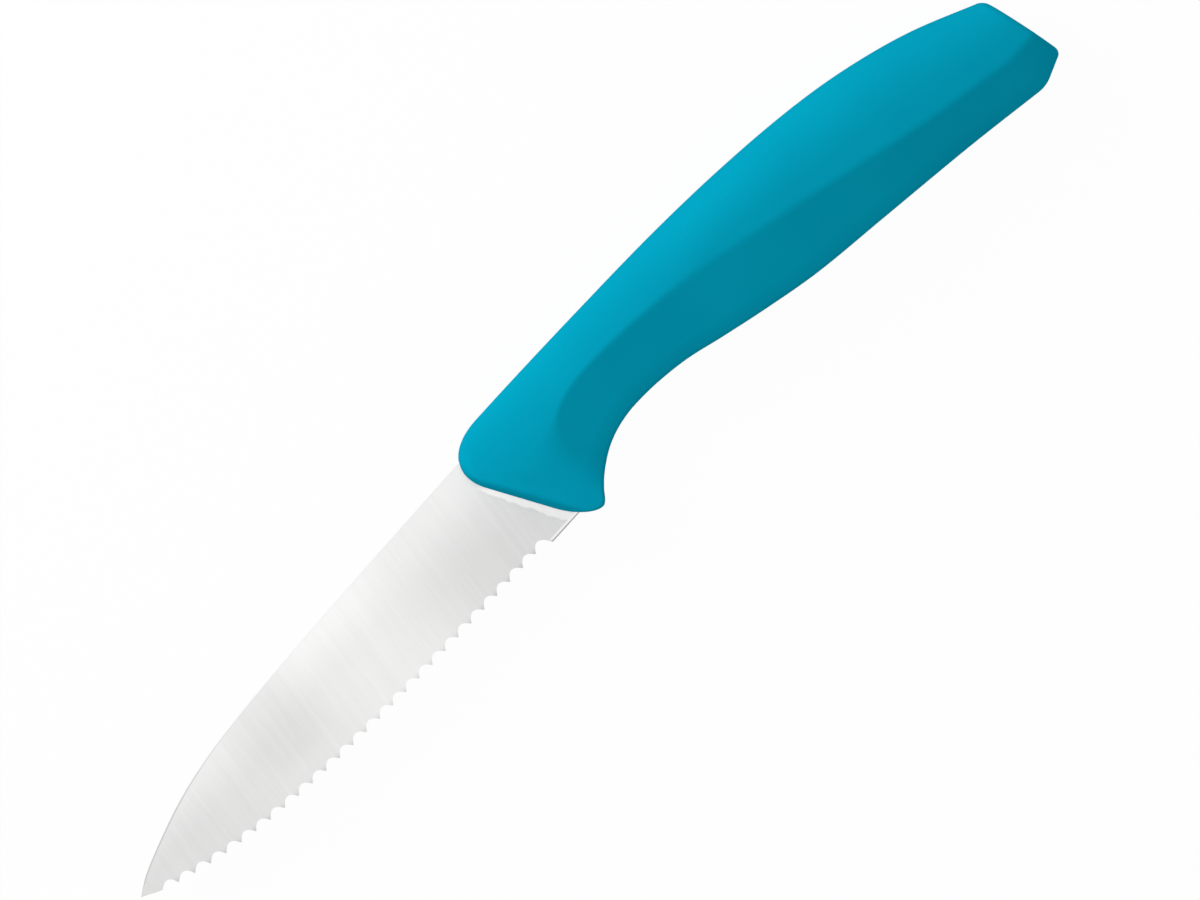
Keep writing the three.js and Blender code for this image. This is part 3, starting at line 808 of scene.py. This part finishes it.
# The tang is two bands of columns that meet on its middle line, and part by sqrt(r^2 - p^2) at p from the
# middle of each lock hole. Its end is a half round.
def addTang(work, joint):
    hole = blade["lockHoleDiameter"] / 2
    turn = np.sin(np.linspace(-math.pi / 2, math.pi / 2, blade["rimPoints"]))
    holeX = blade["tangLength"] * np.arange(1, blade["lockHoles"] + 1) / (blade["lockHoles"] + 1)
    onHoles = (holeX[:, None] + hole * turn).ravel()
    plain = np.linspace(blade["tangStart"], tangEndX, blade["tangColumns"])
    plain = plain[np.abs(plain[:, None] - holeX).min(1) > hole + blade["rimClear"]]
    onEnd = tangEndX + tangEndRadius * turn[len(turn) // 2 + 1:]
    x = np.sort(np.concatenate([plain, onHoles, onEnd]))
    middle = tangMiddle(x)
    pastEnd = np.maximum(x - tangEndX, 0)
    reach = np.sqrt(np.maximum(tangEndRadius ** 2 - pastEnd ** 2, 0)) / tangEndRadius
    taper = np.clip(x / tangEndX, 0, 1)
    half = mix(blade["tangHeight"], blade["tangEndHeight"], taper) / 2 * reach
    gap = np.sqrt(np.maximum(hole ** 2 - np.abs(x[:, None] - holeX).min(1) ** 2, 0))
    gap = np.minimum(gap, half)
    rows = len(joint) // 2
    share = np.linspace(0, 1, rows + 1)
    lower = mix((middle - half)[:, None], (middle - gap)[:, None], share)
    upper = mix((middle + gap)[:, None], (middle + half)[:, None], share)
    for heights, start, outer, inner in ((lower, joint[:rows + 1], 0, -1), (upper, joint[rows:], -1, 0)):
        flat = np.stack([np.broadcast_to(x[:, None], heights.shape), heights], -1)
        flat = np.concatenate([start[None], flat])
        thick = halfThickness(flat[..., 1])[..., None]
        leftIndex = work.add(np.concatenate([flat, thick], -1))
        rightIndex = work.add(np.concatenate([flat, -thick], -1))
        work.faces += quads(leftIndex) + quads(rightIndex)
        work.faces += quads(np.stack([leftIndex[:, outer], rightIndex[:, outer]]))
        for centre in holeX:
            rim = 1 + np.flatnonzero(np.abs(x - centre) < hole + blade["rimClear"])
            work.faces += quads(np.stack([leftIndex[rim, inner], rightIndex[rim, inner]]))


# finishes

steel = {
    "level": 0.79,           # brightness of the plain sheet
    "spinePaintedLight": 0.085,      # painted reflection: brighter towards the spine
    "spineHeights": (0, 9),
    "middlePaintedLight": 0.06,      # painted reflection: brighter in the middle of the length
    "middleRun": (36, 48, 56, 74),  # from the tip
    "heelPaintedShade": 0.09,       # painted shade: darker towards the heel and the edge
    "heelRun": (55, 85),
    "heelHeights": (-6, 5),
    "patchPaintedShade": 0.05,      # painted shade: one soft dark patch before the middle
    "patchRun": (24, 34, 36, 46),
    "patchHeights": (-6, -2),
    # painted shade: darker at the tip, towards the edge
    "tipPaintedShade": 0.05,
    "tipRun": (15, 30),
    "frontPaintedLight": 0.12,       # painted light: a ragged bright band along the handle, lifting the shade there
    "frontBand": 1.12,       # its width on the tip's level
    "frontTaper": 0.035,     # width that it loses per height
    "frontRags": 1.2,
    "frontSoft": 0.15,
    "frontHeights": (2, 5),  # between which it ends
    "frontRoughness": 0.15,
    "cloud": 0.05,
    "cloudScale": (0.06, 0.11, 0.11),
    "cloudRoughness": 0.45,
    "ragScale": (0.5, 0.5, 0.5),
    "line": 0.11,
    "lineScale": (1.3, 0.04, 0.04),  # across the lines, along them and through the sheet
    "hairScale": 4.0,        # finer lines on the same places
    "lineShares": (0.6, 0.4),  # of the lines and the finer lines
    "lineLean": 10.8,        # degrees from square across the blade
    "lineDepth": 0.004,
    "pointShade": 0.13,      # darker tooth points
    "pointStart": (2, 6),    # from the tip
    "pointEnd": (-8, -6),    # from the front face
    "ground": 0.86,          # scallops and heel bevel: brighter ground steel, and a painted reflection along the heel bevel
    "groundTilt": (0.1, 0.2),  # of the surface towards the edge
    "cutEdge": (0.6, 0.8),   # stamped spine, at the tip and from the middle on
    "cutEdgeRun": (10, 34),
    "cutEdgeFacing": (0.82, 0.96),  # how far the surface still faces sideways
    # painted shade: the cut edge that faces down under the heel is darker
    "heelEdgePaintedShade": 0.36,
    "heelEdgeTilt": (0.2, 0.4),
    "warmth": 0.995,         # blue, of the red and the green
    "roughness": (0.30, 0.42),
}

moulding = {
    "cloudScale": (0.05, 0.05, 0.05),
    "grainScale": (5.0, 5.0, 5.0),
    "grainRoughness": 0.6,
    "mottleShares": (0.7, 0.3),  # of the clouds and the grain
    "mottleRange": (0.3, 0.7),
    "grainDepth": 0.006,
}

softTouch = {
    "colour": (0.001, 0.378, 0.55),
    "shade": (0.001, 0.352, 0.52),
    "roughness": (0.52, 0.62),
    "specular": 0.0,
}

hardPlastic = {
    "colour": (0.015, 0.26, 0.36),
    "shade": (0.012, 0.23, 0.32),
    "roughness": (0.42, 0.52),
    "specular": 0.4,
}


def colour(rgb):  # with full alpha
    return (*rgb, 1.0)


def grindingLines(wire, x, y, z):  # noise drawn out along the lines, and a finer one
    turn = math.radians(steel["lineLean"])
    across = math.cos(turn) * x - math.sin(turn) * y
    along = math.sin(turn) * x + math.cos(turn) * y
    perAcross, perAlong, perThrough = steel["lineScale"]
    stretched = {"X": perAcross * across, "Y": perAlong * along, "Z": perThrough * z}
    place = wire.node("ShaderNodeCombineXYZ", {}, stretched)
    return noiseAt(place), noiseAt(place, steel["hairScale"], detail=3.0)


def steelFinish():  # satin sheet with grinding lines across it, in softly clouded greys, with painted reflections, painted shade and a painted light band laid into the grey
    material, wire, shader = newFinish("bladeSteel")
    x, y, z = axes(wire, objectPlace(wire, (1 / mm, 1 / mm, 1 / mm)))
    fromFront = (x - datum[0]) + handle["frontLean"] * (y - datum[1])
    fromTip = x - (datum[0] - blade["length"])
    height = y - datum[1]
    lines, hairs = grindingLines(wire, x, y, z)
    clouds = noise(wire, steel["cloudScale"], roughness=steel["cloudRoughness"])
    rags = noise(wire, steel["ragScale"], detail=3.0)

    # painted reflection: the grey is lifted towards the spine
    toSpine = height.step(*steel["spineHeights"])
    # painted reflection: the grey is lifted in the middle of the length
    middle = fromTip.band(*steel["middleRun"])
    # painted shade: the grey is darkened towards the heel and the edge
    heel = fromTip.step(*steel["heelRun"]) * (1 - height.step(*steel["heelHeights"]))
    # painted shade: one soft dark patch before the middle
    patch = fromTip.band(*steel["patchRun"]) * height.step(*steel["patchHeights"])
    # painted shade: the grey is darkened at the tip, towards the edge
    tip = (1 - fromTip.step(*steel["tipRun"])) * (1 - toSpine)
    # painted light: a ragged bright band on the steel along the handle's front face
    inBand = fromFront + steel["frontBand"] - steel["frontTaper"] * height + steel["frontRags"] * (rags - 0.5)
    front = inBand.step(-steel["frontSoft"], steel["frontSoft"]) * (1 - height.step(*steel["frontHeights"]))
    lineShare, hairShare = steel["lineShares"]
    level = steel["level"] + steel["spinePaintedLight"] * toSpine + steel["middlePaintedLight"] * middle
    level = level - steel["heelPaintedShade"] * heel - steel["patchPaintedShade"] * patch - steel["tipPaintedShade"] * tip
    level = level + steel["frontPaintedLight"] * front + steel["cloud"] * (clouds - 0.5)
    level = level + steel["line"] * (lineShare * lines + hairShare * hairs - 0.5)
    marks = wire.node("ShaderNodeAttribute", {"attribute_name": "mark"}, {}, "Fac")
    onPoints = marks * fromTip.step(*steel["pointStart"]) * (1 - fromFront.step(*steel["pointEnd"]))
    level = level - steel["pointShade"] * onPoints

    facing = axes(wire, wire.node("ShaderNodeTexCoord", {}, {}, "Normal"))
    towardsEdge = -facing[1]
    ground = towardsEdge.step(*steel["groundTilt"])
    cutEdge = 1 - abs(facing[2]).step(*steel["cutEdgeFacing"])
    # ground faces brighter: ground steel, and a painted reflection along the heel bevel
    level = level + ground * (steel["ground"] - level)
    tipEdge, backEdge = steel["cutEdge"]
    edgeLevel = tipEdge + (backEdge - tipEdge) * fromTip.step(*steel["cutEdgeRun"])
    # painted shade: darker on the cut edge that faces down under the heel
    edgeLevel = edgeLevel + towardsEdge.step(*steel["heelEdgeTilt"]) * (steel["heelEdgePaintedShade"] - edgeLevel)
    level = level + cutEdge * (edgeLevel - level)
    grey = wire.node("ShaderNodeCombineXYZ", {}, {"X": level, "Y": level, "Z": steel["warmth"] * level})
    connect(grey, shader, "Base Color")
    low, high = steel["roughness"]
    roughness = low + (high - low) * (0.5 * clouds + 0.5 * lines)
    connect(roughness + front * (steel["frontRoughness"] - roughness), shader, "Roughness")
    connectBump(hairs, steel["lineDepth"], shader)
    shader.inputs["Metallic"].default_value = 1.0
    return material


def mouldedFinish(name, look):  # moulded plastic with a fine even grain
    material, wire, shader = newFinish(name)
    clouds = noise(wire, moulding["cloudScale"], detail=3.0)
    grain = noise(wire, moulding["grainScale"], roughness=moulding["grainRoughness"])
    cloudShare, grainShare = moulding["mottleShares"]
    mottle = (cloudShare * clouds + grainShare * grain).step(*moulding["mottleRange"])
    connect(mottle.blend(colour(look["shade"]), colour(look["colour"])), shader, "Base Color")
    low, high = look["roughness"]
    connect(low + (high - low) * grain, shader, "Roughness")
    connectBump(grain, moulding["grainDepth"], shader)
    shader.inputs["Specular IOR Level"].default_value = look["specular"]
    return material


putPiece("blade_sheet", bladeMesh(), "blade", steelFinish())
putPiece("grip_skin", gripMesh(), "handle_grip", mouldedFinish("softTouchGrip", softTouch))
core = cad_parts["handle_core"]
core.data.materials.clear()
core.data.materials.append(mouldedFinish("corePlastic", hardPlastic))
print("core keeps its own shape")


# studio

studio = {
    "view": (15.3, -6.35),   # centre of the picture, from where the front face crosses the tip's level
    "tilt": 47.8,            # degrees from the picture's level to the knife's axis
    "width": 192.9,          # picture's width on that plane
    "lens": 400,
    "sensor": 36,
    "farthest": 50000,       # what the camera still sees
    "skyLevel": 0.47,        # light from all round
    "keyLevel": 0.63,        # light from the spine side
    "keyAngle": 52,          # degrees from straight up
    "keyAhead": 60,          # towards the tip
    "keyDistance": 520,
    "keySize": 400,
    "floorSize": 6000,
    "floorGrey": (0.9, 0.9, 0.9),
    "floorRoughness": 0.9,
    "floorWhite": 0.97,      # share of the floor's white that the camera sees unshaded
}

white = colour((1.0, 1.0, 1.0))


def makeCamera():  # straight above the blade's flat side, turned as in the picture
    lens = bpy.data.cameras.new("camera")
    lens.lens = studio["lens"]
    lens.sensor_width = studio["sensor"]
    lens.clip_end = studio["farthest"] * mm
    camera = addObject("camera", lens)
    distance = studio["width"] / studio["sensor"] * studio["lens"]
    camera.location = (datum + np.array([*studio["view"], distance])) * mm
    camera.rotation_euler = (0, 0, -math.radians(studio["tilt"]))
    bpy.context.scene.camera = camera


def makeKeyLight():  # a soft panel on the spine side, aimed at the knife
    lamp = bpy.data.lights.new("key", "AREA")
    lamp.shape = "SQUARE"
    lamp.size = studio["keySize"] * mm
    distance = studio["keyDistance"] * mm
    lamp.energy = studio["keyLevel"] * math.pi ** 2 * distance ** 2
    key = addObject("key", lamp)
    angle = math.radians(studio["keyAngle"])
    key.location = (-studio["keyAhead"] * mm, distance * math.sin(angle), distance * math.cos(angle))
    key.rotation_euler = (-angle, 0, 0)
    key.visible_glossy = False  # steel shows the white surroundings alone


def seenRays(wire):  # 1 for what the camera and polished steel see, 0 for light that falls on the knife
    path = wire.node("ShaderNodeLightPath", {}, {})
    camera, glossy, through = path.outputs(["Is Camera Ray", "Is Glossy Ray", "Is Transmission Ray"])
    return camera.most(glossy).most(through)


def makeSky():  # even light all round, which is seen as white
    world = bpy.data.worlds.new("sky")
    world.use_nodes = True
    bpy.context.scene.world = world
    sky = world.node_tree.nodes["Background"]
    sky.inputs["Color"].default_value = white
    level = studio["skyLevel"] + (1 - studio["skyLevel"]) * seenRays(Wire(world.node_tree))
    connect(level, sky, "Strength")


def makeFloor():  # a white table that keeps the knife's soft shadow
    material, wire, shader = newFinish("table")
    shader.inputs["Base Color"].default_value = colour(studio["floorGrey"])
    shader.inputs["Roughness"].default_value = studio["floorRoughness"]
    shader.inputs["Specular IOR Level"].default_value = 0.0
    glow = wire.node("ShaderNodeEmission", {}, {"Color": white, "Strength": 1.0})
    matt = Wire(wire.tree, shader.outputs["BSDF"])
    share = studio["floorWhite"] * seenRays(wire)
    table = wire.node("ShaderNodeMixShader", {}, {0: share, 1: matt, 2: glow})
    connect(table, wire.tree.nodes["Material Output"], "Surface")
    reach = studio["floorSize"] / 2
    corners = np.array([(-1, -1, 0), (1, -1, 0), (1, 1, 0), (-1, 1, 0)]) * reach * mm
    mesh = bpy.data.meshes.new("table")
    mesh.from_pydata(corners.tolist(), [], [(0, 1, 2, 3)])
    mesh.materials.append(material)
    addObject("table", mesh)


makeCamera()
makeKeyLight()
makeSky()
makeFloor()
bpy.context.scene.view_settings.view_transform = "Standard"
print("studio ready")
